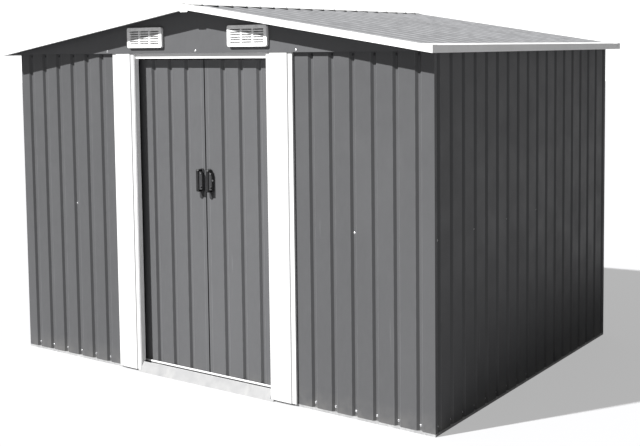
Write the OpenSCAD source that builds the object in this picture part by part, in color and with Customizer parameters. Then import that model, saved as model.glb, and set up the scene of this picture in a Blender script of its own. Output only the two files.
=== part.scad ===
// Metal storage shed: ribbed sheet walls on a base frame, a low gable roof and a
// pair of sliding doors in the wide gable front.
// Millimetres. Origin at the middle of the footprint, on the ground.
// X runs to the right along the front, Y runs to the back, Z is up.

/* [Building] */
// Width of the walls, outside, along the front
wall_w = 2480; // [2100:10:3000]
// Depth of the walls, outside, front to back
wall_d = 1862; // [1400:10:2600]
// Height of the wall sheets' top edge above the ground
wall_h = 1560; // [1450:10:1900]
// How far the roof's trims stand out past each side wall
eave_out = 44; // [36:1:80]
// How far the roof's trims stand out past the front and back walls
rake_out = 93; // [60:1:150]
// Slope of the roof in degrees
roof_pitch = 9; // [7:0.5:14]
// Height of the gables' outer ends
eave_rise = 18; // [14:1:30]

/* [Sheets] */
// Thickness of the sheet metal
sheet_t = 0.8; // [0.6:0.1:1.2]
// Distance from one groove of a sheet to the next
rib_pitch = 105.5; // [95:0.5:120]
// Width of a groove at the sheet's face
rib_w = 30; // [24:1:40]
// Width of the flat at the bottom of a groove
rib_floor = 8; // [4:1:14]
// Depth of a groove
rib_d = 10; // [8:0.5:12]
// Distance from the front corner to the first groove of a side wall
side_first_rib = 34; // [30:1:40]
// Distance from the corner to the outermost groove of a front wall
front_first_rib = 74; // [50:1:90]
// Distance from the doors' meeting line to their first groove
door_first_rib = 112; // [90:1:120]

/* [Base frame] */
// Thickness of the rails, posts and trims
rail_t = 1.2; // [1:0.1:2]
// Height of the base rail's outer face
base_h = 11; // [10:1:24]
// Height of the base rail's upright flange
base_flange_h = 50; // [45:1:52]
// Width of the base rail's foot
base_foot_w = 33; // [28:1:34]

/* [Posts and rails] */
// Leg of the angle posts in the corners
post_leg = 30; // [24:1:34]
// Height of the middle rails' centre line
mid_rail_z = 800; // [700:10:900]
// Height of the middle rails' web
mid_rail_h = 40; // [30:1:60]
// Depth of the rails, from the web to the edge of their flanges
rail_depth = 24; // [20:1:28]
// How far the top rails reach above the wall sheets' top edge
top_rail_up = 12; // [8:1:14]
// How far the side top rails reach below the wall sheets' top edge
top_rail_down = 25; // [20:1:40]
// Distance from the ridge to the roof purlins, along the slope
purlin_off = 640; // [560:10:720]
// Height of the purlins and of the ridge beam
purlin_h = 30; // [24:1:40]

/* [Doorway] */
// Half the clear width between the jambs
doorway_half = 402; // [320:1:480]
// Width of a jamb
jamb_w = 145; // [130:1:170]
// How far the jambs stand in front of the wall
jamb_out = 11; // [8:0.5:14]
// How far the jambs' inner flange reaches behind the wall's face
jamb_back = 20; // [14:1:24]
// Height of the door track's front flange
track_h = 16; // [14:1:20]
// Height of the threshold
threshold_h = 51; // [51:1:60]
// How far the threshold's foot stands in front of the wall
threshold_out = 16; // [10:1:40]
// Height of the lower door track's front flange
sill_h = 54; // [50:1:60]
// Height of the lower door track's rear flange
sill_rear_h = 38; // [30:1:39]

/* [Doors] */
// How far the doors' faces lie behind the wall's face
door_back = 40; // [38:0.5:46]
// How far a door reaches past the jamb's inner edge when it is shut
door_lap = 43; // [30:1:50]
// Gap between the two shut doors
door_gap = 5; // [5:0.5:8]
// Clearance between the doors and what they slide past
door_clear = 6; // [5:0.5:6]
// Height of the doors' bottom edge above the ground
door_z = 45; // [44:1:48]
// Depth of the folds along the doors' upright edges
door_fold = 16; // [12:1:18]
// Clearance left between a handle and its jamb when the door is open
door_stop = 9; // [6:1:40]

/* [Handles] */
// Distance from the meeting line to the near edge of a handle's plate
handle_x = 12; // [8:1:12]
// Width of a handle's plate
handle_w = 36; // [30:1:36]
// Height of a handle's plate
handle_h = 111; // [90:1:130]
// Height of the middle of a handle above the ground
handle_z = 966; // [850:2:1050]
// Length of the tongue below a handle's plate
handle_tongue = 30; // [15:1:40]
// How far the grip stands out from the door
handle_out = 30; // [20:1:32]

/* [Vents] */
// Distance from the middle of the gable to the middle of a vent
vent_x = 313; // [280:1:340]
// Width of a vent
vent_w = 225; // [200:1:240]
// Height of a vent
vent_h = 95; // [85:1:100]
// Height of a vent's centre above the top of the wall
vent_up = 74; // [66:1:80]
// Thickness of a vent
vent_t = 13; // [10:0.5:16]

/* [Roof edge] */
// Height of the rake trims
rake_trim_h = 26; // [24:0.5:28]
// Height of the roof sheets' underside above the trims' lower edge
sheet_up = 18; // [16:0.5:20]
// Width of the trims' lower lips, under the roof sheets
trim_lip = 18; // [12:1:24]
// Width of the trims' upper lips, over the roof sheets
upper_lip = 44; // [26:1:48]
// How far the ridge cap reaches to each side of the ridge
cap_reach = 60; // [45:1:90]
// Length of the caps over the roof's corners
corner_cap_len = 42; // [30:1:60]
// How far the gable sheets stand in front of the wall
gable_out = 17; // [15:1:20]

/* [Hidden] */

$fn = 48;
// a cut's overrun past the face it opens
cut = 1;
// gap left between the sloping roof sheets and what bears on them
slope_seat = 0.05;

// colours
wall_grey = "#70757a";
roof_grey = "#8b8f93";
trim_white = "#f2f2ef";
zinc = "#b9bec2";
plastic_black = "#1c1d1e";

// the walls' outer faces, and the inner faces of their grooves' floors
wall_x = wall_w / 2;
wall_y = wall_d / 2;
sheet_depth = rib_d + sheet_t;
inner_x = wall_x - sheet_depth;
inner_y = wall_y - sheet_depth;

// the roof's edges and the heights of its slopes over a place at x
roof_x = wall_x + eave_out;
roof_y = wall_y + rake_out;
rise = tan(roof_pitch);
eave_z = wall_h + eave_rise - sheet_up / cos(roof_pitch) - eave_out * rise;
slope_len = roof_x / cos(roof_pitch);
sheet_top = sheet_up + sheet_depth + slope_seat;
bearing = sheet_up - slope_seat;
function slope_z(x, up) = eave_z + (roof_x - abs(x)) * rise + up / cos(roof_pitch);

// the doors, and the tracks that hold them above and below
door_y = -wall_y + door_back;
door_back_y = door_y + sheet_depth;
door_w = doorway_half + door_lap - door_gap / 2;
door_mid_x = door_gap / 2 + door_w / 2;
door_travel = doorway_half - handle_x - handle_w - door_stop;
door_rail_d = 20;
track_y = door_y + 16;
track_half = 30;
track_slot_half = 17;
track_top = wall_h - 9;
track_low = track_top - track_h;
track_half_len = doorway_half + door_lap + door_travel + 30;
door_top = track_low - door_clear;

// ------------------------------------------------------------ shared sections

// a groove's four corners, seen from the sheet's face
function groove(c) = [
    [c - rib_w / 2, 0], [c - rib_floor / 2, -rib_d], [c + rib_floor / 2, -rib_d], [c + rib_w / 2, 0]
];

// centres of the whole grooves between two places, counted from a first one
function groove_centres(first, low, high) = [
    for (k = [ceil((low + rib_w / 2 - first) / rib_pitch) : floor((high - rib_w / 2 - first) / rib_pitch)])
        first + k * rib_pitch
];

// section of a ribbed sheet: face at v = 0, grooves towards -v
module ribbed_section(u0, u1, centres) {
    face = concat([[u0, 0]], [for (c = centres) each groove(c)], [[u1, 0]]);
    back = [for (i = [len(face) - 1 : -1 : 0]) face[i] - [0, sheet_t]];
    polygon(concat(face, back));
}

// section of bent strip: square legs of thickness t from each point to the next
module bent_strip(points, t) {
    for (i = [0 : len(points) - 2]) {
        a = points[i];
        b = points[i + 1];
        low = [min(a[0], b[0]), min(a[1], b[1])];
        high = [max(a[0], b[0]), max(a[1], b[1])];
        translate(low) square(high - low + [t, t]);
    }
}

// stands a section drawn in X and Y upright
module upright(z0, z1) {
    translate([0, 0, z0]) linear_extrude(z1 - z0) children();
}

// lays a section drawn in Y and Z along X
module along_x(x0, x1) {
    translate([x0, 0, 0]) rotate([90, 0, 90]) linear_extrude(x1 - x0) children();
}

// lays a section drawn in X and Z along Y
module along_y(y0, y1) {
    translate([0, y1, 0]) rotate([90, 0, 0]) linear_extrude(y1 - y0) children();
}

module to_left(yes) {
    if (yes) mirror([1, 0, 0]) children();
    else children();
}

module to_back(yes) {
    if (yes) mirror([0, 1, 0]) children();
    else children();
}

// puts a child on the right roof slope: X runs up the slope from the eave's lower
// edge, Z stands square to it
module on_slope() {
    translate([roof_x, 0, eave_z]) mirror([1, 0, 0]) rotate([0, -roof_pitch, 0]) children();
}

// ---------------------------------------------------------------- base frame

// section of a base rail, from its outer face inwards: foot, face, shelf for the
// wall sheet and upright flange
module base_section() {
    bent_strip([[base_foot_w - rail_t, 0], [0, 0], [0, base_h - rail_t], [sheet_depth, base_h - rail_t],
                [sheet_depth, base_flange_h - rail_t]], rail_t);
}

// region of the rail along one side, mitred at both corners
module mitred_side(half_len, half_other) {
    m = 2 * base_foot_w;
    upright(-cut, base_flange_h + cut)
        polygon([[-half_len, -half_other], [half_len, -half_other],
                 [half_len - m, -half_other + m], [-half_len + m, -half_other + m]]);
}

module base_rail(half_len, half_other) {
    intersection() {
        along_x(-half_len, half_len) translate([-half_other, 0]) base_section();
        mitred_side(half_len, half_other);
    }
}

// the front rail has no upright flange between the jambs, under the threshold
module base_rail_front() {
    color(zinc) difference() {
        base_rail(wall_x, wall_y);
        translate([-doorway_half, -wall_y - cut, base_h])
            cube([2 * doorway_half, base_foot_w + 2 * cut, base_flange_h]);
    }
}

module base_rail_back() { color(zinc) to_back(true) base_rail(wall_x, wall_y); }
module base_rail_right() { color(zinc) rotate(90) base_rail(wall_y, wall_x); }
module base_rail_left() { color(zinc) to_left(true) rotate(90) base_rail(wall_y, wall_x); }

// sloping threshold over the front base rail, between the jambs
module threshold() {
    foot_y = -wall_y - threshold_out;
    nose_y = -wall_y + rail_t;
    rear_y = -wall_y + base_foot_w - 8;
    rear_z = threshold_h - 15;
    ear = 19;
    color(trim_white) difference() {
        along_x(-doorway_half - ear, doorway_half + ear)
            polygon([[foot_y, 0], [nose_y, threshold_h], [rear_y + rail_t, rear_z],
                     [rear_y + rail_t, rail_t], [rear_y, rail_t], [rear_y, rear_z - rail_t],
                     [nose_y + rail_t, threshold_h - 2 * rail_t], [foot_y + rail_t, 0]]);
        for (x = [-doorway_half - ear - cut, doorway_half])
            translate([x, foot_y - cut, 0]) {
                translate([0, 0, base_h]) cube([ear + cut, base_foot_w * 2, threshold_h]);
                translate([0, threshold_out + cut, -cut]) cube([ear + cut, base_foot_w * 2, threshold_h]);
            }
    }
}

// channel that guides the doors' feet
module sill_track() {
    front_y = -wall_y + base_foot_w;
    rear_y = door_back_y + door_rail_d + door_clear;
    color(trim_white) along_x(-track_half_len, track_half_len)
        bent_strip([[front_y, sill_h - rail_t], [front_y, 0], [rear_y, 0],
                    [rear_y, sill_rear_h - rail_t]], rail_t);
}

// ---------------------------------------------------------------- walls

module front_wall(left) {
    inner_edge = doorway_half + door_lap - 10;
    ribs = groove_centres(wall_x - front_first_rib, doorway_half + jamb_w, wall_x);
    color(wall_grey) to_left(left)
        upright(base_h, wall_h) translate([0, -wall_y]) mirror([0, 1])
            ribbed_section(inner_edge, wall_x, ribs);
}

module front_wall_left() { front_wall(true); }
module front_wall_right() { front_wall(false); }

module side_wall(left) {
    half = wall_y - sheet_t;
    color(wall_grey) to_left(left)
        upright(base_h, wall_h) translate([wall_x, 0]) rotate(-90)
            ribbed_section(-half, half, groove_centres(wall_y - side_first_rib, -half, half));
}

module left_wall() { side_wall(true); }
module right_wall() { side_wall(false); }

module back_wall() {
    color(wall_grey) upright(base_h, wall_h) translate([0, wall_y])
        ribbed_section(-wall_x, wall_x, groove_centres(0, -wall_x, wall_x));
}

// ---------------------------------------------------------------- posts and rails

module corner_posts() {
    color(zinc) for (left = [false, true], back = [false, true])
        to_left(left) to_back(back) upright(base_flange_h, track_top)
            bent_strip([[inner_x - post_leg, -inner_y], [inner_x - rail_t, -inner_y],
                        [inner_x - rail_t, -inner_y + post_leg - rail_t]], rail_t);
}

// section of a rail fixed to a wall, from the wall inwards
module wall_rail_section(low, high) {
    bent_strip([[rail_depth - rail_t, low], [0, low], [0, high - rail_t],
                [rail_depth - rail_t, high - rail_t]],
               rail_t);
}

module mid_rails() {
    low = mid_rail_z - mid_rail_h / 2;
    high = mid_rail_z + mid_rail_h / 2;
    side_half = inner_y - post_leg;
    back_half = inner_x - post_leg;
    color(zinc) {
        for (left = [false, true]) to_left(left)
            along_y(-side_half, side_half) translate([inner_x, 0]) mirror([1, 0]) wall_rail_section(low, high);
        along_x(-back_half, back_half) translate([inner_y, 0]) mirror([1, 0]) wall_rail_section(low, high);
    }
}

module top_rail_end_wall(back) {
    color(wall_grey) to_back(back)
        along_x(-inner_x, inner_x) translate([-inner_y, 0]) wall_rail_section(track_top, wall_h + top_rail_up);
}

module top_rail_front() { top_rail_end_wall(false); }
module top_rail_back() { top_rail_end_wall(true); }

// the side rails close the walls' tops up to the roof sheets
module top_rail_side(left) {
    half = inner_y - post_leg;
    low = wall_h - top_rail_down;
    edge_x = inner_x - rail_depth;
    t_up = rail_t / cos(roof_pitch);
    color(wall_grey) to_left(left) along_y(-half, half)
        polygon([[edge_x, low], [inner_x, low], [inner_x, slope_z(inner_x, bearing)],
                 [edge_x, slope_z(edge_x, bearing)], [edge_x, slope_z(edge_x, bearing) - t_up],
                 [inner_x - rail_t, slope_z(inner_x - rail_t, bearing) - t_up],
                 [inner_x - rail_t, low + rail_t], [edge_x, low + rail_t]]);
}

module top_rail_left() { top_rail_side(true); }
module top_rail_right() { top_rail_side(false); }

// ---------------------------------------------------------------- doorway

// folded cover over the front wall's edge, with a raised band down its middle and
// an inner flange that turns back towards the doors
module jamb(left) {
    face_y = -wall_y - jamb_out;
    outer = doorway_half + jamb_w;
    band = 4;
    edge_w = 22;
    fold = 4;
    line = [
        [outer, -wall_y], [outer, face_y],
        [outer - edge_w, face_y], [outer - edge_w - band, face_y - band],
        [doorway_half + edge_w + band, face_y - band], [doorway_half + edge_w, face_y],
        [doorway_half + fold, face_y], [doorway_half, face_y + fold],
        [doorway_half, -wall_y + jamb_back]
    ];
    last = len(line) - 1;
    back = [for (i = [last : -1 : 0])
        [min(max(line[i][0], doorway_half + rail_t), outer - rail_t),
         line[i][1] + (i == 0 || i == last ? 0 : rail_t)]];
    color(trim_white) to_left(left) difference() {
        upright(base_h, wall_h) polygon(concat(line, back));
        for (z = [track_top, base_flange_h - wall_h])
            translate([doorway_half - cut, -inner_y, z]) cube([jamb_w, jamb_back, wall_h]);
    }
}

module left_jamb() { jamb(true); }
module right_jamb() { jamb(false); }

// channel under the front top rail, open below, that the doors hang from
module door_track() {
    header_y = -wall_y - 2;
    color(trim_white) union() {
        along_x(-track_half_len, track_half_len) translate([track_y, 0])
            bent_strip([[-track_slot_half - rail_t, track_low], [-track_half, track_low],
                        [-track_half, track_top - rail_t], [track_half - rail_t, track_top - rail_t],
                        [track_half - rail_t, track_low], [track_slot_half, track_low]], rail_t);
        along_x(-doorway_half, doorway_half)
            bent_strip([[header_y, wall_h - rail_t], [header_y, track_low],
                        [track_y - track_half, track_low]], rail_t);
    }
}

// ---------------------------------------------------------------- doors

// ribbed skin with both upright edges folded back
module door_skin(left) {
    x0 = door_gap / 2;
    x1 = x0 + door_w;
    color(wall_grey) to_left(left) upright(door_z, door_top) union() {
        translate([0, door_y]) mirror([0, 1])
            ribbed_section(x0, x1, groove_centres(door_first_rib, x0, x1));
        for (x = [x0, x1 - sheet_t]) translate([x, door_y]) square([sheet_t, door_fold]);
    }
}

// stiffening channels across the door's back, at its top, middle and bottom
module door_rails(left) {
    rail_h = 30;
    color(zinc) to_left(left)
        for (low = [door_z, handle_z - rail_h / 2, door_top - rail_h])
            along_x(door_gap / 2 + sheet_t, door_gap / 2 + door_w - sheet_t)
                translate([door_back_y, 0])
                    bent_strip([[door_rail_d - rail_t, low], [0, low], [0, low + rail_h - rail_t],
                                [door_rail_d - rail_t, low + rail_h - rail_t]], rail_t);
}

// hangers that ride on the track's lips, and guides that run in the sill track
module door_sliders(left) {
    slider_w = 40;
    head_half = 24;
    head_h = 7;
    seat_gap = 0.3;
    stem_half = 5;
    guide_low = 10;
    end_in = 60;
    head_z = track_low + rail_t + seat_gap;
    color(plastic_black) to_left(left) for (side = [-1, 1])
        translate([door_mid_x + side * (door_w / 2 - end_in) - slider_w / 2, 0, 0]) {
            translate([0, track_y - stem_half, door_top]) cube([slider_w, 2 * stem_half, head_z - door_top]);
            translate([0, track_y - head_half, head_z]) cube([slider_w, 2 * head_half, head_h]);
            translate([0, track_y - stem_half, guide_low]) cube([slider_w, 2 * stem_half, door_z - guide_low]);
        }
}

// upright plate with round ends: half the width in radius at the corners
module rounded_plate(w, h, r) {
    square([w - 2 * r, h], center = true);
    square([w, h - 2 * r], center = true);
    for (x = [-1, 1], z = [-1, 1]) translate([x * (w / 2 - r), z * (h / 2 - r)]) circle(r);
}

// backing plate with a tongue below, and an upright bow grip joined to it at both ends
module handle(left) {
    plate_t = 4;
    tongue_w = 24;
    grip_w = 16;
    grip_h = handle_h - 5;
    bar = 7;
    leg = 10;
    hand_gap = handle_out - plate_t - bar;
    mid_x = handle_x + handle_w / 2;
    color(plastic_black) to_left(left) {
        along_y(door_y - plate_t, door_y) translate([mid_x, handle_z]) union() {
            rounded_plate(handle_w, handle_h, 8);
            translate([0, -handle_h / 2 - handle_tongue / 2 + tongue_w / 2])
                rounded_plate(tongue_w, handle_tongue + tongue_w, tongue_w / 2 - 0.5);
        }
        translate([mid_x - grip_w / 2, door_y - handle_out, handle_z - grip_h / 2]) difference() {
            cube([grip_w, handle_out - plate_t, grip_h]);
            translate([-cut, bar, leg]) cube([grip_w + 2 * cut, hand_gap + cut, grip_h - 2 * leg]);
        }
    }
}

module left_door() { door_skin(true); }
module right_door() { door_skin(false); }
module left_door_rails() { door_rails(true); }
module right_door_rails() { door_rails(false); }
module left_door_sliders() { door_sliders(true); }
module right_door_sliders() { door_sliders(false); }
module left_handle() { handle(true); }
module right_handle() { handle(false); }

// ---------------------------------------------------------------- gables and vents

vent_z = wall_h + vent_up;
vent_border = 14;

// half a gable: flat sheet with a hem that rests on the wall's top and a flap that
// closes its outer end, open behind the vent
module gable(left, back) {
    face_y = -wall_y - gable_out;
    color(wall_grey) to_left(left) to_back(back) difference() {
        union() {
            along_y(face_y, face_y + sheet_t)
                polygon([[0, wall_h], [wall_x, wall_h], [wall_x, slope_z(wall_x, bearing)],
                         [0, slope_z(0, bearing)]]);
            translate([0, face_y, wall_h]) cube([wall_x, -inner_y - face_y, sheet_t]);
            translate([wall_x - sheet_t, face_y, wall_h]) cube([sheet_t, gable_out, eave_rise - 1]);
        }
        translate([vent_x - vent_w / 2 + vent_border, face_y - cut, vent_z - vent_h / 2 + vent_border])
            cube([vent_w - 2 * vent_border, sheet_t + 2 * cut, vent_h - 2 * vent_border]);
    }
}

module front_gable_left() { gable(true, false); }
module front_gable_right() { gable(false, false); }
module back_gable_left() { gable(true, true); }
module back_gable_right() { gable(false, true); }

// plastic vent with three columns of slots
module vent() {
    columns = 3;
    rows = 6;
    column_step = (vent_w - 2 * vent_border) / columns;
    row_step = (vent_h - 2 * vent_border) / rows;
    slot_h = row_step * 0.55;
    bar_w = 7;
    y0 = -wall_y - gable_out - vent_t;
    difference() {
        along_y(y0, y0 + vent_t) translate([vent_x, vent_z]) rounded_plate(vent_w, vent_h, 10);
        for (i = [0 : columns - 1], j = [0 : rows - 1])
            translate([vent_x + (i + 0.5 - columns / 2) * column_step, y0 + vent_t / 2,
                       vent_z + (j + 0.5 - rows / 2) * row_step])
                cube([column_step - bar_w, vent_t + 2 * cut, slot_h], center = true);
    }
}

module front_vents() { color(trim_white) for (left = [false, true]) to_left(left) vent(); }
module back_vents() { color(trim_white) for (left = [false, true]) to_left(left) to_back(true) vent(); }

// ---------------------------------------------------------------- roof

// a channel under the ridge and one under the middle of each slope, from gable to
// gable
module roof_purlins() {
    half = wall_y + gable_out - sheet_t;
    half_w = 20;
    t_up = rail_t / cos(roof_pitch);
    ridge_z = slope_z(0, bearing);
    side_z = slope_z(half_w, bearing);
    color(zinc) {
        along_y(-half, half)
            polygon([[-half_w, side_z - purlin_h], [-half_w, side_z], [0, ridge_z], [half_w, side_z],
                     [half_w, side_z - purlin_h], [half_w - rail_t, side_z - purlin_h],
                     [half_w - rail_t, side_z - t_up], [0, ridge_z - t_up],
                     [-half_w + rail_t, side_z - t_up], [-half_w + rail_t, side_z - purlin_h]]);
        for (left = [false, true]) to_left(left)
            on_slope() along_y(-half, half) translate([slope_len - purlin_off, bearing])
                bent_strip([[half_w, -rail_t], [0, -rail_t], [0, -purlin_h], [half_w, -purlin_h]], rail_t);
    }
}

// sheet with raised ribs that run down the slope
module roof_sheet(left) {
    half = roof_y - rail_t - 0.5;
    start = (rail_t + 0.5 + sheet_top * sin(roof_pitch)) / cos(roof_pitch);
    color(roof_grey) to_left(left) on_slope()
        along_x(start, slope_len) translate([0, sheet_up]) mirror([0, 1])
            ribbed_section(-half, half, groove_centres(0, -half + trim_lip, half - trim_lip));
}

module roof_left() { roof_sheet(true); }
module roof_right() { roof_sheet(false); }

module ridge_cap() {
    color(trim_white) along_y(-roof_y, roof_y)
        polygon([for (up = [sheet_top, sheet_top + rail_t], x = up == sheet_top ? [-1, 0, 1] : [1, 0, -1])
            [x * cap_reach, slope_z(x * cap_reach, up)]]);
}

// channel round the edge of the roof sheet along a gable
module rake_trim(left, back) {
    color(trim_white) to_left(left) to_back(back) intersection() {
        on_slope() along_x(-trim_lip, slope_len + trim_lip) translate([-roof_y, 0])
            bent_strip([[trim_lip - rail_t, 0], [0, 0], [0, rake_trim_h - rail_t],
                        [upper_lip - rail_t, rake_trim_h - rail_t]], rail_t);
        translate([0, -roof_y - cut, 0]) cube([roof_x - trim_lip, roof_y, slope_z(0, sheet_top) + cut]);
    }
}

module front_rake_left() { rake_trim(true, false); }
module front_rake_right() { rake_trim(false, false); }
module back_rake_left() { rake_trim(true, true); }
module back_rake_right() { rake_trim(false, true); }

// channel round the low edge of the roof sheet
module eave_trim(left) {
    top = sheet_top + rail_t;
    web = roof_x - rail_t;
    edge = roof_x - trim_lip;
    upper_edge = roof_x - upper_lip;
    color(trim_white) to_left(left) union() {
        along_y(-roof_y, roof_y)
            polygon([[roof_x, slope_z(roof_x, 0)], [roof_x, slope_z(roof_x, top)],
                     [edge, slope_z(edge, top)], [edge, slope_z(edge, sheet_top)],
                     [web, slope_z(web, sheet_top)], [web, slope_z(web, rail_t)],
                     [edge, slope_z(edge, rail_t)], [edge, slope_z(edge, 0)]]);
        along_y(-roof_y + upper_lip, roof_y - upper_lip)
            polygon([[web, slope_z(web, sheet_top)], [web, slope_z(web, top)],
                     [upper_edge, slope_z(upper_edge, top)], [upper_edge, slope_z(upper_edge, sheet_top)]]);
    }
}

module eave_trim_left() { eave_trim(true); }
module eave_trim_right() { eave_trim(false); }

// folded caps over the trims' corners
module roof_corner_caps() {
    inner = roof_x - corner_cap_len;
    outer = roof_x + rail_t;
    low = 0;
    seat = sheet_top + rail_t;
    top = seat + rail_t;
    color(trim_white) for (left = [false, true], back = [false, true])
        to_left(left) to_back(back) {
            along_y(-roof_y - rail_t, -roof_y)
                polygon([[inner, slope_z(inner, low)], [outer, slope_z(roof_x, low)],
                         [outer, slope_z(roof_x, top)], [inner, slope_z(inner, top)]]);
            along_y(-roof_y - rail_t, -roof_y + corner_cap_len)
                polygon([[roof_x, slope_z(roof_x, low)], [outer, slope_z(roof_x, low)],
                         [outer, slope_z(roof_x, top)], [roof_x, slope_z(roof_x, top)]]);
            along_y(-roof_y - rail_t, -roof_y + corner_cap_len)
                polygon([[inner, slope_z(inner, seat)], [roof_x, slope_z(roof_x, seat)],
                         [roof_x, slope_z(roof_x, top)], [inner, slope_z(inner, top)]]);
        }
}

base_rail_front();
base_rail_back();
base_rail_left();
base_rail_right();
threshold();
sill_track();
front_wall_left();
front_wall_right();
left_wall();
right_wall();
back_wall();
corner_posts();
mid_rails();
top_rail_front();
top_rail_back();
top_rail_left();
top_rail_right();
left_jamb();
right_jamb();
door_track();
left_door();
left_door_rails();
left_door_sliders();
left_handle();
right_door();
right_door_rails();
right_door_sliders();
right_handle();
front_gable_left();
front_gable_right();
back_gable_left();
back_gable_right();
front_vents();
back_vents();
roof_purlins();
roof_left();
roof_right();
ridge_cap();
front_rake_left();
front_rake_right();
back_rake_left();
back_rake_right();
eave_trim_left();
eave_trim_right();
roof_corner_caps();
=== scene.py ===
import bpy
from math import cos, radians, tan
from mathutils import Matrix, Vector


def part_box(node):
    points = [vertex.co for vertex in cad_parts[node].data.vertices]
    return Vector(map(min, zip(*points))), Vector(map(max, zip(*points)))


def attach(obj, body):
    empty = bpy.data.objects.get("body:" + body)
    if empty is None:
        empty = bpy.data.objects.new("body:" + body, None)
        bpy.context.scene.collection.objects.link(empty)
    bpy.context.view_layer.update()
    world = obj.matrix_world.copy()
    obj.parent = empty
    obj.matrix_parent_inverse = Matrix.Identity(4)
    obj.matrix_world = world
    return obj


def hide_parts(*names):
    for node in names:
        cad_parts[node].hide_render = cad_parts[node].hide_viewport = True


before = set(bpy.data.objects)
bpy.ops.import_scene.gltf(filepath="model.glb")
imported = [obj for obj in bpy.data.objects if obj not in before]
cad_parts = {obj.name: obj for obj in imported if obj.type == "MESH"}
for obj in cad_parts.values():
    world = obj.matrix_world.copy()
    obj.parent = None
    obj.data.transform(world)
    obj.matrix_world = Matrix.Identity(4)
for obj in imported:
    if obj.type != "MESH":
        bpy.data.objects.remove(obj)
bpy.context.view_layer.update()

# ---------------------------------------------------------------- sizes, in metres

PITCH = 0.1055          # from rib to rib in every sheet
GROOVE_HALF = 0.015     # half a groove's width at the wall's face
GROOVE_DEEP = 0.010
SLOPE = radians(9)      # of the roof
WALL_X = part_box("right_wall")[1].x
WALL_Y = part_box("back_wall")[1].y
FRONT_FIRST = WALL_X - 0.074     # the front wall's groove nearest the corner
SIDE_FIRST = -WALL_Y + 0.034     # the side walls' groove nearest the front
SHEET_RIDGE_Z = 1.7747           # the roof sheets' flats, where they would meet at the ridge
CAP_RIDGE_Z = 1.7866             # top of the ridge cap
DOOR_FIRST = 0.112               # the doors' grooves nearest the meeting edges
DOORWAY_X, JAMB_X = (corner.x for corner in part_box("right_jamb"))

# ---------------------------------------------------------------- camera, floor and light

def add_camera():
    data = bpy.data.cameras.new("camera")
    camera = bpy.data.objects.new("camera", data)
    bpy.context.scene.collection.objects.link(camera)
    camera.location = (3.3258, -4.637, 1.5775)
    camera.rotation_euler = (radians(85.6513), radians(0.6424), radians(35.0486))
    data.sensor_width = 36
    data.lens = 60.33
    data.shift_x = -0.0113
    data.shift_y = -0.1465
    data.clip_end = 100
    bpy.context.scene.camera = camera


def add_floor():
    bpy.ops.object.select_all(action="DESELECT")
    bpy.ops.mesh.primitive_plane_add(size=80)
    floor = bpy.context.object
    floor.name = "floor"
    paint = bpy.data.materials.new("pale_floor")
    paint.use_nodes = True
    shader = paint.node_tree.nodes["Principled BSDF"]
    shader.inputs["Base Color"].default_value = (0.29, 0.29, 0.295, 1)
    shader.inputs["Roughness"].default_value = 0.9
    shader.inputs["Specular IOR Level"].default_value = 0.0
    shader.inputs["Emission Color"].default_value = (1, 1, 1, 1)
    shader.inputs["Emission Strength"].default_value = 0.41
    nodes, links = paint.node_tree.nodes, paint.node_tree.links
    plain = nodes.new("ShaderNodeBsdfDiffuse")
    plain.inputs["Color"].default_value = (0.29, 0.29, 0.295, 1)
    path = nodes.new("ShaderNodeLightPath")
    either = nodes.new("ShaderNodeMixShader")
    links.new(path.outputs["Is Camera Ray"], either.inputs["Fac"])
    links.new(plain.outputs[0], either.inputs[1])
    links.new(shader.outputs[0], either.inputs[2])
    links.new(either.outputs[0], nodes["Material Output"].inputs["Surface"])
    floor.data.materials.append(paint)


def add_lights():
    data = bpy.data.lights.new("key", "SUN")
    data.energy = 8.6
    data.angle = radians(1.2)
    key = bpy.data.objects.new("key", data)
    key.location = (-3, -5, 6)
    key.rotation_euler = (radians(47.7), 0, radians(-31.7))
    bpy.context.scene.collection.objects.link(key)

    world = bpy.data.worlds.new("studio")
    bpy.context.scene.world = world
    world.use_nodes = True
    nodes, links = world.node_tree.nodes, world.node_tree.links
    fill = nodes["Background"]
    fill.inputs["Color"].default_value = (1, 1, 1, 1)
    fill.inputs["Strength"].default_value = 0.22
    seen = nodes.new("ShaderNodeBackground")
    seen.inputs["Color"].default_value = (1, 1, 1, 1)
    seen.inputs["Strength"].default_value = 1.5
    path = nodes.new("ShaderNodeLightPath")
    either = nodes.new("ShaderNodeMixShader")
    links.new(path.outputs["Is Camera Ray"], either.inputs["Fac"])
    links.new(fill.outputs[0], either.inputs[1])
    links.new(seen.outputs[0], either.inputs[2])
    links.new(either.outputs[0], nodes["World Output"].inputs["Surface"])
    bpy.context.scene.view_settings.view_transform = "Standard"


# ---------------------------------------------------------------- finishes

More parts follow.
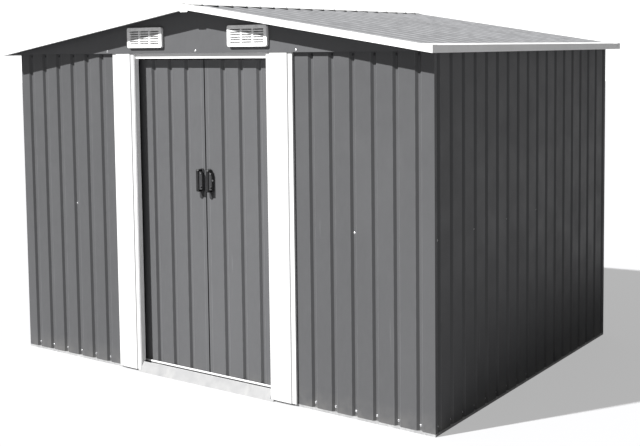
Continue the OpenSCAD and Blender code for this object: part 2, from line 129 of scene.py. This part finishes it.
class Finish:
    """a procedural material under way: its nodes, its shader and the maker's short cuts"""

    def __init__(self, name):
        self.material = bpy.data.materials.new(name)
        self.material.use_nodes = True
        self.nodes = self.material.node_tree.nodes
        self.links = self.material.node_tree.links
        self.shader = self.nodes["Principled BSDF"]
        self.place = self.nodes.new("ShaderNodeTexCoord").outputs["Object"]
        self.heights = None

    def set(self, **values):
        for name, value in values.items():
            self.shader.inputs[name.replace("_", " ")].default_value = value

    def feed(self, socket, value):
        if isinstance(value, bpy.types.NodeSocket):
            self.links.new(value, socket)
        elif value is not None:
            socket.default_value = value

    def stretched(self, scale):
        node = self.nodes.new("ShaderNodeMapping")
        node.inputs["Scale"].default_value = scale
        self.links.new(self.place, node.inputs["Vector"])
        return node.outputs[0]

    def noise(self, scale, detail=3.0, rough=0.55, along=(1, 1, 1)):
        node = self.nodes.new("ShaderNodeTexNoise")
        node.inputs["Scale"].default_value = scale
        node.inputs["Detail"].default_value = detail
        node.inputs["Roughness"].default_value = rough
        self.links.new(self.stretched(along), node.inputs["Vector"])
        return node.outputs["Fac"]

    def cells(self, scale, feature="F1", output="Color"):
        node = self.nodes.new("ShaderNodeTexVoronoi")
        node.feature = feature
        node.inputs["Scale"].default_value = scale
        self.links.new(self.place, node.inputs["Vector"])
        return node.outputs[output]

    def axis(self, letter):
        node = self.nodes.new("ShaderNodeSeparateXYZ")
        self.links.new(self.place, node.inputs[0])
        return node.outputs[letter]

    def sum(self, kind, a, b=None, c=None):
        node = self.nodes.new("ShaderNodeMath")
        node.operation = kind
        for socket, value in zip(node.inputs, (a, b, c)):
            self.feed(socket, value)
        return node.outputs[0]

    def between(self, value, low, high, out_low=0.0, out_high=1.0):
        node = self.nodes.new("ShaderNodeMapRange")
        for socket, v in zip(node.inputs, (value, low, high, out_low, out_high)):
            self.feed(socket, v)
        return node.outputs[0]

    def blend(self, share, a, b):
        node = self.nodes.new("ShaderNodeMix")
        node.data_type = "RGBA"
        self.feed(node.inputs[0], share)
        for socket, value in ((node.inputs[6], a), (node.inputs[7], b)):
            self.feed(socket, (*value, 1) if isinstance(value, tuple) else value)
        return node.outputs[2]

    def line(self, letter, place, half, soft=0.0008, mirrored=True):
        """1 on a thin line at that distance along the axis, 0 beside it"""
        where = self.axis(letter)
        if mirrored:
            where = self.sum("ABSOLUTE", where)
        off = self.sum("ABSOLUTE", self.sum("SUBTRACT", where, place))
        return self.between(off, half, half + soft, 1, 0)

    def relief(self, height, distance, strength=1.0):
        node = self.nodes.new("ShaderNodeBump")
        node.inputs["Strength"].default_value = strength
        node.inputs["Distance"].default_value = distance
        self.links.new(height, node.inputs["Height"])
        if self.heights is not None:
            self.links.new(self.heights, node.inputs["Normal"])
        self.heights = node.outputs[0]

    def done(self, colour, rough):
        self.feed(self.shader.inputs["Base Color"], colour)
        self.feed(self.shader.inputs["Roughness"], rough)
        if self.heights is not None:
            self.links.new(self.heights, self.shader.inputs["Normal"])
        return self.material


def shade(colour, by):
    return tuple(min(1.0, c * by) for c in colour)


def painted_sheet(name, colour, rib_axis=None, first=0.0, dust_top=0.10, sheen=0.42,
                  edge=GROOVE_HALF, fold_wear_and_highlight=0.42, wide=0.0022, meeting_gap_shadow=0.0):
    """baked paint on ribbed steel sheet: drawn streaks, dust at the foot, lighter lines along the
    folds that are partly paint rubbed thin and partly painted highlight, and a painted shadow in
    the gap where two doors meet"""
    f = Finish(name)
    broad = f.noise(2.3, 2, along=(1, 1, 0.22))
    fine = f.noise(55, 4, along=(1, 1, 0.35))
    tone = f.blend(f.between(broad, 0.3, 0.7), shade(colour, 0.93), shade(colour, 1.08))
    tone = f.blend(f.between(fine, 0.35, 0.75, 0, 0.35), tone, shade(colour, 1.16))
    if dust_top:
        foot = f.sum("MULTIPLY", f.between(f.axis("Z"), 0.0, dust_top, 1, 0),
                     f.between(f.noise(14, 5), 0.35, 0.7))
        tone = f.blend(f.sum("MULTIPLY", foot, 0.22), tone, (0.30, 0.285, 0.26))
    scratch = f.between(f.noise(38, 2, along=(1, 1, 0.05)), 0.735, 0.76)
    tone = f.blend(f.sum("MULTIPLY", scratch, 0.30), tone, shade(colour, 2.2))
    # lighter lines along the folds: partly paint rubbed thin, partly painted highlight standing in
    # for the sunlit sides of the grooves and ribs
    if rib_axis:
        across = f.sum("SUBTRACT", f.axis(rib_axis), first - PITCH / 2)
        across = f.sum("SUBTRACT", f.sum("FLOORED_MODULO", across, PITCH), PITCH / 2)
        off = f.sum("ABSOLUTE", f.sum("SUBTRACT", f.sum("ABSOLUTE", across), edge))
        worn_and_lit_folds = f.sum("MULTIPLY", f.between(off, 0.0006, wide, 1, 0),
                       f.between(f.noise(20, 4), 0.3, 0.62, 0.15, 1))
        tone = f.blend(f.sum("MULTIPLY", worn_and_lit_folds, fold_wear_and_highlight), tone, shade(colour, 2.0))
    # near-black painted shadow in the gap where the two doors meet
    if meeting_gap_shadow:
        tone = f.blend(f.line("X", 0.0, meeting_gap_shadow), tone, (0.008, 0.008, 0.009))
    f.relief(f.noise(2.6, 1, along=(1, 1, 0.30)), 0.010, 0.30)
    f.relief(f.noise(520, 2), 0.0004, 0.22)
    f.relief(scratch, 0.0003, 0.4)
    f.set(Specular_IOR_Level=0.3)
    return f.done(tone, f.between(f.noise(7, 4), 0.3, 0.7, sheen - 0.07, sheen + 0.10))


def painted_trim(name, colour=(0.86, 0.86, 0.855), foot_dust=True, folds=(), foot_shadow_line=None,
                 painted_light_return=0.0):
    """white baked paint on folded strip, with faint rain marks, chipped specks, painted shade
    along the folds, dust at the foot and a painted shadow line along a sill strip's foot; the
    return line is where a jamb's return, in shade, is painted whiter: painted light"""
    f = Finish(name)
    tone = f.blend(f.between(f.noise(6, 4), 0.3, 0.7), shade(colour, 0.955), shade(colour, 1.03))
    # a jamb's return lies in shade; painting it whiter than the jamb's face is painted light
    if painted_light_return:
        tone = f.blend(f.line("X", painted_light_return, 0.0020), tone, (0.93, 0.93, 0.925))
    # painted shade along the jambs' folds, where the fold faces turn away from the light
    for place in folds:
        fold_shade = f.sum("MULTIPLY", f.line("X", place, 0.0013),
                     f.between(f.noise(5, 3), 0.3, 0.6, 0.3, 0.8))
        tone = f.blend(fold_shade, tone, (0.40, 0.40, 0.395))
    # near-black painted shadow line along the sill strip's foot, where it meets the threshold
    if foot_shadow_line is not None:
        tone = f.blend(f.line("Z", foot_shadow_line, 0.0034), tone, (0.05, 0.05, 0.052))
    rain = f.between(f.noise(26, 4, along=(1, 1, 0.09)), 0.56, 0.78, 0, 0.20)
    tone = f.blend(rain, tone, (0.62, 0.61, 0.58))
    if foot_dust:
        foot = f.sum("MULTIPLY", f.between(f.axis("Z"), 0.0, 0.13, 1, 0),
                     f.between(f.noise(17, 5), 0.4, 0.7))
        tone = f.blend(f.sum("MULTIPLY", foot, 0.35), tone, (0.45, 0.445, 0.435))
    chip = f.between(f.noise(95, 3), 0.745, 0.76)
    tone = f.blend(f.sum("MULTIPLY", chip, 0.6), tone, (0.42, 0.42, 0.43))
    f.relief(f.noise(560, 2), 0.0003, 0.18)
    f.relief(f.noise(5, 2), 0.003, 0.15)
    f.relief(f.sum("SUBTRACT", 1.0, chip), 0.0002, 0.4)
    return f.done(tone, f.between(f.noise(9, 4), 0.3, 0.7, 0.30, 0.46))


def zinc_coat(name, colour=(0.66, 0.67, 0.69), spangle=85, metal=0.75, rough=0.38):
    """hot-dip zinc: spangle a centimetre across, dull bloom and fine drawing marks"""
    f = Finish(name)
    patch = f.nodes.new("ShaderNodeSeparateColor")
    f.links.new(f.cells(spangle), patch.inputs[0])
    tone = f.blend(patch.outputs[0], shade(colour, 0.86), shade(colour, 1.14))
    bloom = f.between(f.noise(11, 5), 0.48, 0.72, 0, 0.5)
    tone = f.blend(bloom, tone, (0.58, 0.58, 0.575))
    marks = f.between(f.noise(70, 3, along=(0.1, 0.1, 1)), 0.62, 0.7, 0, 0.35)
    tone = f.blend(marks, tone, shade(colour, 0.7))
    f.set(Metallic=metal)
    f.relief(patch.outputs[1], 0.0003, 0.25)
    f.relief(f.noise(300, 3), 0.0002, 0.25)
    polish = f.between(patch.outputs[2], 0, 1, rough - 0.07, rough + 0.08)
    return f.done(tone, f.sum("ADD", polish, f.sum("MULTIPLY", bloom, 0.3)))


def moulded(name, colour, worn, rough=0.45):
    """moulded plastic: fine leather-like grain, slight mottling and scuffs rubbed pale"""
    f = Finish(name)
    tone = f.blend(f.between(f.noise(60, 3), 0.3, 0.7), shade(colour, 0.88), shade(colour, 1.12))
    scuff = f.between(f.noise(130, 4, along=(1, 1, 0.25)), 0.62, 0.72, 0, 0.45)
    tone = f.blend(scuff, tone, worn)
    f.relief(f.cells(1500, output="Distance"), 0.0002, 0.35)
    f.relief(f.noise(240, 3), 0.0002, 0.2)
    return f.done(tone, f.between(f.noise(90, 4), 0.3, 0.7, rough - 0.08, rough + 0.12))


GREY = (0.080, 0.0805, 0.083)
DOOR_GREY = shade(GREY, 1.18)
FOLD_IN = 0.023         # from a jamb's edges to its folds
front_sheet = painted_sheet("grey_sheet_front", GREY, "X", FRONT_FIRST)
back_sheet = painted_sheet("grey_sheet_back", GREY, "X", 0.0)
side_sheet = painted_sheet("grey_sheet_side", GREY, "Y", SIDE_FIRST)
left_door_sheet = painted_sheet("grey_sheet_left_door", DOOR_GREY, "X", -DOOR_FIRST, meeting_gap_shadow=0.0036)
right_door_sheet = painted_sheet("grey_sheet_right_door", DOOR_GREY, "X", DOOR_FIRST, meeting_gap_shadow=0.0022)
gable_sheet = painted_sheet("grey_sheet_gable", shade(GREY, 1.15))
# roof grey painted lighter than the walls' same grey paint: painted reflection of the sky on the
# slopes
# the roof's lighter fold lines are mostly painted highlight on the ribs' lit sides
roof_paint = painted_sheet("grey_sheet_roof", (0.138, 0.139, 0.143), "Y", 0.0, dust_top=0,
                           sheen=0.36, edge=0.0055, fold_wear_and_highlight=0.75, wide=0.0034)
trim_paint = painted_trim("white_trim_paint")
# jamb white toned down to grey against the strong light on the jambs' faces, shaded returns
# painted back to white: lit and shaded copies of one white paint
jamb_paint = painted_trim("jamb_paint", (0.62, 0.62, 0.617),
                          folds=(DOORWAY_X + FOLD_IN, JAMB_X - FOLD_IN), painted_light_return=DOORWAY_X)
# sill strip with a painted shadow line at its foot
sill_paint = painted_trim("sill_paint", foot_dust=False,
                          foot_shadow_line=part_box("threshold")[1].z - 0.0085)
threshold_paint = painted_trim("threshold_paint", (0.285, 0.285, 0.287))
zinc = zinc_coat("galvanised_frame")
rail_zinc = zinc_coat("galvanised_rail", (0.42, 0.42, 0.42), metal=0.35, rough=0.42)
# dark grey screw finish for screws that lie in shade: painted shade
shaded_screw_grey = painted_sheet("shaded_screw_grey", (0.035, 0.035, 0.037), dust_top=0)
screw_zinc = zinc_coat("screw_zinc", (0.78, 0.78, 0.79), spangle=420, metal=0.9, rough=0.25)
white_plastic = moulded("white_plastic", (0.93, 0.93, 0.92), (0.78, 0.77, 0.74))
# grip painted blacker and plate lighter than one black plastic: painted shade on the grip, painted
# light on the plate
black_plastic = moulded("black_plastic", (0.007, 0.007, 0.0075), (0.022, 0.022, 0.023), 0.42)
black_plate = moulded("black_plate_plastic", (0.024, 0.024, 0.0255), (0.060, 0.060, 0.062), 0.50)

NODE_FINISH = {
    "front_wall_left": front_sheet, "front_wall_right": front_sheet, "back_wall": back_sheet,
    "left_wall": side_sheet, "right_wall": side_sheet,
    "left_door": left_door_sheet, "right_door": right_door_sheet,
    "front_gable_left": gable_sheet, "front_gable_right": gable_sheet,
    "back_gable_left": gable_sheet, "back_gable_right": gable_sheet,
    "roof_left": roof_paint, "roof_right": roof_paint,
    "base_rail_front": rail_zinc, "base_rail_back": rail_zinc,
    "base_rail_left": rail_zinc, "base_rail_right": rail_zinc,
    "threshold": threshold_paint, "sill_track": sill_paint,
    "left_jamb": jamb_paint, "right_jamb": jamb_paint,
}
SLOT_FINISH = {
    "grey_sheet": front_sheet, "roof_sheet": roof_paint, "white_trim": trim_paint,
    "galvanised": zinc, "white_plastic": white_plastic, "black_plastic": black_plastic,
}


def finish_nodes():
    """gives every carried-over piece of the model its finish"""
    for name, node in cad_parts.items():
        own = [s.material.name if s.material else "" for s in node.material_slots]
        look = NODE_FINISH.get(name)
        for slot, was in zip(node.material_slots, own):
            key = next((k for k in SLOT_FINISH if was.startswith(k)), "grey_sheet")
            slot.link = "OBJECT"
            slot.material = look or SLOT_FINISH[key]


# ---------------------------------------------------------------- the maker's hands

def start(kind, place, dims=(1, 1, 1), **extra):
    """a primitive of that size at that place"""
    if kind == "cube":
        extra["size"] = 1
    bpy.ops.object.select_all(action="DESELECT")
    getattr(bpy.ops.mesh, "primitive_" + kind + "_add")(location=place, scale=dims, **extra)
    bpy.ops.object.transform_apply(location=True, rotation=True, scale=True)
    return bpy.context.object


def choose(obj, faces=None, edges=None):
    """opens a piece for editing with the faces or the edges chosen by their place and direction"""
    bpy.ops.object.mode_set(mode="OBJECT")
    bpy.context.tool_settings.mesh_select_mode = (False, edges is not None, edges is None)
    mesh = obj.data
    for part in (mesh.vertices, mesh.edges, mesh.polygons):
        part.foreach_set("select", [False] * len(part))
    if edges is None:
        for face in mesh.polygons:
            face.select = faces(face.center, face.normal)
    else:
        for edge in mesh.edges:
            a, b = (mesh.vertices[i].co for i in edge.vertices)
            edge.select = edges((a + b) / 2, (b - a).normalized())
    bpy.ops.object.mode_set(mode="EDIT")


def push(x=0.0, y=0.0, z=0.0):
    bpy.ops.mesh.extrude_region_move(TRANSFORM_OT_translate={"value": (x, y, z)})


def shrink(x=1.0, y=1.0, z=1.0, about=None):
    if about is None:
        bpy.ops.transform.resize(value=(x, y, z))
    else:
        bpy.ops.transform.resize(value=(x, y, z), center_override=about)


def tidy_mesh(obj, smooth=40):
    bpy.ops.object.mode_set(mode="EDIT")
    bpy.ops.mesh.select_all(action="SELECT")
    bpy.ops.mesh.remove_doubles(threshold=1e-6)
    bpy.ops.mesh.normals_make_consistent(inside=False)
    bpy.ops.object.mode_set(mode="OBJECT")
    if smooth:
        bpy.ops.object.shade_smooth_by_angle(angle=radians(smooth))


def settle(obj, name, body, look):
    """names a finished piece, paints it and makes it ride with its body"""
    obj.name = name
    obj.data.name = name
    obj.data.materials.clear()
    obj.data.materials.append(look)
    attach(obj, body)
    return obj


def copies(master, turns, name, body, look):
    """one piece made of copies of the master, each turned and placed by a matrix"""
    made = []
    for turn in turns:
        twin = master.copy()
        twin.data = master.data.copy()
        bpy.context.scene.collection.objects.link(twin)
        twin.matrix_world = turn
        made.append(twin)
    bpy.ops.object.select_all(action="DESELECT")
    for twin in made:
        twin.select_set(True)
    bpy.context.view_layer.objects.active = made[0]
    if len(made) > 1:
        bpy.ops.object.join()
    bpy.ops.object.transform_apply(location=True, rotation=True, scale=True)
    return settle(bpy.context.object, name, body, look)


def drop(obj):
    bpy.data.objects.remove(obj)


OUT = {
    "front": Matrix.Rotation(radians(90), 4, "X"),
    "back": Matrix.Rotation(radians(-90), 4, "X"),
    "right": Matrix.Rotation(radians(90), 4, "Y"),
    "left": Matrix.Rotation(radians(-90), 4, "Y"),
    "roof_right": Matrix.Rotation(SLOPE, 4, "Y"),
    "roof_left": Matrix.Rotation(-SLOPE, 4, "Y"),
}


def at(x, y, z, side, spin=0.0):
    return Matrix.Translation((x, y, z)) @ OUT[side] @ Matrix.Rotation(spin, 4, "Z")


# ---------------------------------------------------------------- screws

def model_screw(head=0.0044, washer=0.0062):
    """pan-head screw on a sealing washer, standing up from the origin"""
    screw = start("cylinder", (0, 0, 0.0002), vertices=12, radius=washer, depth=0.0008)
    choose(screw, faces=lambda c, n: n.z > 0.9)
    bpy.ops.mesh.inset(thickness=washer - head, depth=0.0004)
    push(z=0.0012)
    bpy.ops.mesh.inset(thickness=0.0009, depth=0.0006)
    bpy.ops.mesh.inset(thickness=0.0013, depth=0.0001)
    bpy.ops.mesh.inset(thickness=0.0002, depth=-0.0009)
    tidy_mesh(screw, 35)
    return screw


def ladder(first, step, count):
    return [first + step * i for i in range(count)]


def add_screws():
    screw = model_screw()
    front_x = [s * (FRONT_FIRST - PITCH * k) for s in (-1, 1) for k in range(6)]
    side_y = ladder(SIDE_FIRST, PITCH, 18)
    back_x = ladder(-11 * PITCH, PITCH, 23)
    face_y, face_x = WALL_Y - GROOVE_DEEP, WALL_X - GROOVE_DEEP
    spin = 0.7

    foot, middle, head, side_head = 0.033, 0.800, 1.548, 1.536
    copies(screw, [at(x, -face_y, foot, "front", x * spin) for x in front_x],
           "front_foot_screws", "root", screw_zinc)
    # head screws in dark grey rather than zinc: painted shade for their place under the overhang
    copies(screw, [at(x, -face_y, head, "front", x * spin) for x in front_x],
           "front_head_screws", "root", shaded_screw_grey)
    copies(screw, [at(x, face_y, z, "back", x * spin) for x in back_x
                   for z in (foot, middle, head)],
           "back_wall_screws", "root", screw_zinc)
    for side, sign in (("right", 1), ("left", -1)):
        copies(screw, [at(sign * face_x, y, foot, side, y * spin) for y in side_y]
               + [at(sign * face_x, y, middle, side, y * spin) for y in side_y[::3]],
               side + "_wall_screws", "root", screw_zinc)
        # head screws in dark grey rather than zinc: painted shade for their place under the
        # overhang
        copies(screw, [at(sign * face_x, y, side_head, side, y * spin) for y in side_y],
               side + "_head_screws", "root", shaded_screw_grey)
    rail_x = FRONT_FIRST - 3 * PITCH
    copies(screw, [at(sign * rail_x, -face_y, middle, "front") for sign in (-1, 1)],
           "front_rail_screws", "root", screw_zinc)

    gable_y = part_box("front_gable_left")[0].y
    spots = [(x, 1.570) for x in (-0.575, 0.0, 0.575)]
    for name, side, sign in (("front", "front", 1), ("back", "back", -1)):
        copies(screw, [at(x, sign * gable_y, z, side, x) for x, z in spots],
               name + "_gable_screws", "root", screw_zinc)

    rib_y = ladder(-9 * PITCH, PITCH, 19)
    flat_y = ladder(-8.5 * PITCH, PITCH, 18)
    purlin_x, eave_x, cap_x = 0.640 * cos(SLOPE), 1.225, 0.046
    for side, sign in (("roof_right", 1), ("roof_left", -1)):
        spots = [(x, y) for x in (purlin_x, eave_x) for y in flat_y]
        copies(screw, [at(sign * x, y, SHEET_RIDGE_Z - x * tan(SLOPE), side, y) for x, y in spots],
               side + "_screws", "root", screw_zinc)
        cap_z = CAP_RIDGE_Z - cap_x * tan(SLOPE)
        copies(screw, [at(sign * cap_x, y, cap_z, side, y) for y in rib_y],
               "ridge_cap_screws_" + side[5:], "root", screw_zinc)
    drop(screw)


# ---------------------------------------------------------------- door handles

def model_handle(sign):
    """backing plate with a cut corner and a tongue below, and the bow grip on it"""
    low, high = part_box("right_handle")
    mid_x, mid_z = (low.x + high.x) / 2, 0.966
    back_y, front_y = high.y, low.y
    plate_t, plate_w, plate_h = 0.0040, high.x - low.x, 2 * (high.z - mid_z)

    plate = start("cube", (mid_x, back_y - plate_t / 2, mid_z), (plate_w, plate_t, plate_h))
    upright = lambda c, d: abs(d.y) > 0.9
    choose(plate, edges=lambda c, d: upright(c, d) and c.x > mid_x and c.z > mid_z)
    bpy.ops.mesh.bevel(offset=0.018, segments=1)
    choose(plate, edges=lambda c, d: upright(c, d) and (c.x < mid_x or c.z < mid_z))
    bpy.ops.mesh.bevel(offset=0.007, segments=4)
    choose(plate, faces=lambda c, n: n.y < -0.9)
    bpy.ops.mesh.inset(thickness=0.0012, depth=0.0)
    push(y=-0.0007)
    bpy.ops.mesh.inset(thickness=0.0030, depth=0.0)
    push(y=0.0012)
    tidy_mesh(plate, 30)

    tongue = start("cube", (mid_x, back_y - 0.0017, low.z + 0.022), (0.024, 0.0034, 0.044))
    choose(tongue, faces=lambda c, n: n.z < -0.9)
    shrink(x=0.72)
    choose(tongue, edges=lambda c, d: abs(d.y) > 0.9 and c.z < low.z + 0.01)
    bpy.ops.mesh.bevel(offset=0.0075, segments=5)
    choose(tongue, faces=lambda c, n: n.y < -0.9)
    bpy.ops.mesh.inset(thickness=0.0015, depth=0.0008)
    tidy_mesh(tongue, 30)

    grip_w, bar, leg, grip_h = 0.015, 0.0065, 0.0095, plate_h - 0.006
    deep = back_y - plate_t - front_y
    grip = start("cube", (mid_x, front_y + bar / 2, mid_z), (grip_w, bar, grip_h))
    for sign_z in (-1, 1):
        edge_z = mid_z + sign_z * (grip_h / 2 - leg)
        choose(grip, faces=lambda c, n: True)
        bpy.ops.mesh.bisect(plane_co=(mid_x, 0, edge_z), plane_no=(0, 0, 1))
        choose(grip, faces=lambda c, n: n.y > 0.9 and sign_z * (c.z - edge_z) > 0)
        push(y=deep - bar + 0.0015)
    across = lambda d: abs(d.x) > 0.9
    from_mid = lambda c: abs(c.z - mid_z)
    choose(grip, edges=lambda c, d: (across(d) and c.y < front_y + 0.001
                                     and from_mid(c) > grip_h * 0.48))
    bpy.ops.mesh.bevel(offset=0.0062, segments=5)
    choose(grip, edges=lambda c, d: (across(d) and abs(c.y - front_y - bar) < 0.0005
                                     and abs(from_mid(c) - grip_h / 2 + leg) < 0.0005))
    bpy.ops.mesh.bevel(offset=0.0050, segments=4)
    choose(grip, edges=lambda c, d: (abs(abs(c.x - mid_x) - grip_w / 2) < 1e-5
                                     and abs(d.x) < 0.1))
    bpy.ops.mesh.bevel(offset=0.0012, segments=2)
    tidy_mesh(grip, 35)

    bpy.ops.object.select_all(action="DESELECT")
    for part in (plate, tongue):
        part.select_set(True)
    bpy.context.view_layer.objects.active = plate
    bpy.ops.object.join()
    plate = bpy.context.object
    if sign < 0:
        for part in (plate, grip):
            bpy.ops.object.select_all(action="DESELECT")
            part.select_set(True)
            bpy.context.view_layer.objects.active = part
            choose(part, faces=lambda c, n: True)
            shrink(x=-1, about=(0, 0, 0))
            bpy.ops.mesh.normals_make_consistent(inside=False)
            bpy.ops.object.mode_set(mode="OBJECT")
    return plate, grip


def add_handles():
    screw = model_screw(0.0040, 0.0046)
    plate_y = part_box("right_handle")[1].y - 0.0038
    for sign, side in ((1, "right"), (-1, "left")):
        plate, grip = model_handle(sign)
        settle(plate, side + "_handle_plate", side + "_door", black_plate)
        settle(grip, side + "_handle_grip", side + "_door", black_plastic)
        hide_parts(side + "_handle")
        # upper screws in zinc, lower ones in dark grey: painted shade where the lower screws catch
        # no glint
        for name, z, look in (("upper", 1.000, screw_zinc), ("lower", 0.934, shaded_screw_grey)):
            copies(screw, [at(sign * 0.030, plate_y, z, "front", z)],
                   side + "_handle_" + name + "_screw", side + "_door", look)
    rivet = [at(0.0425, plate_y, 0.968, "front")]
    copies(screw, rivet, "right_handle_rivet", "right_door", screw_zinc)
    drop(screw)


# ---------------------------------------------------------------- vents

def add_vents():
    """slightly slanted louvre blades, set back in the vents' openings"""
    mid_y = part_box("front_vents")[1].y - 0.0034
    columns = [(0.2180, 0.2767), (0.2837, 0.3423), (0.3493, 0.4080)]
    rows = [1.6030, 1.6142, 1.6253, 1.6365, 1.6477, 1.6588]
    blade_up = 0.0029           # of a blade over the lower edge of its opening
    blade = start("cube", (0, 0, 0), (columns[0][1] - columns[0][0] + 0.0008, 0.0054, 0.0010))
    choose(blade, edges=lambda c, d: abs(d.x) > 0.9 and c.y < 0)
    bpy.ops.mesh.bevel(offset=0.0004, segments=2)
    choose(blade, faces=lambda c, n: True)
    bpy.ops.transform.rotate(value=radians(-12), orient_axis="X", center_override=(0, 0, 0))
    tidy_mesh(blade, 0)
    for side, sign in (("front", 1), ("back", -1)):
        turn = Matrix.Rotation(0 if sign > 0 else radians(180), 4, "Z")
        spots = [turn @ Matrix.Translation((half * (a + b) / 2, mid_y, row + blade_up))
                 for half in (-1, 1) for a, b in columns for row in rows]
        copies(blade, spots, side + "_vent_louvres", "root", white_plastic)
    drop(blade)


# ---------------------------------------------------------------- roof

def add_pan_upturns():
    """the roof sheets' flats turned up at the ridge, under the cap"""
    tall, away = 0.0090, 0.0105
    plate = start("cube", (0, 0, tall / 2 + 0.0002), (0.0009, PITCH - 0.0230, tall))
    choose(plate, edges=lambda c, d: abs(d.x) > 0.9 and c.z > tall / 2)
    bpy.ops.mesh.bevel(offset=0.0022, segments=3)
    choose(plate, faces=lambda c, n: n.z < -0.9)
    push(z=-0.0006)
    tidy_mesh(plate, 30)
    pans = ladder(-8.5 * PITCH, PITCH, 18)
    for side, sign in (("right", 1), ("left", -1)):
        base = SHEET_RIDGE_Z - away * tan(SLOPE)
        spots = [at(sign * away, y, base, "roof_" + side) for y in pans]
        copies(plate, spots, side + "_pan_upturns", "root", roof_paint)
    drop(plate)


def add_peak_plates():
    """folded plate behind each pair of rake trims, showing just below their joint"""
    behind_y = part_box("front_rake_left")[0].y + 0.0019
    mid_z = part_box("ridge_cap")[1].z - 0.0235
    for name, sign in (("front", 1), ("back", -1)):
        plate = start("cube", (0, sign * behind_y, mid_z), (0.046, 0.0012, 0.036))
        choose(plate, edges=lambda c, d: abs(d.y) > 0.9)
        bpy.ops.mesh.bevel(offset=0.0030, segments=3)
        choose(plate, faces=lambda c, n: sign * n.y < -0.9)
        bpy.ops.mesh.inset(thickness=0.0020, depth=0.0)
        tidy_mesh(plate, 30)
        settle(plate, name + "_peak_plate", "root", trim_paint)


# ---------------------------------------------------------------- build

add_camera()
add_floor()
add_lights()
finish_nodes()
add_screws()
add_handles()
add_vents()
add_pan_upturns()
add_peak_plates()
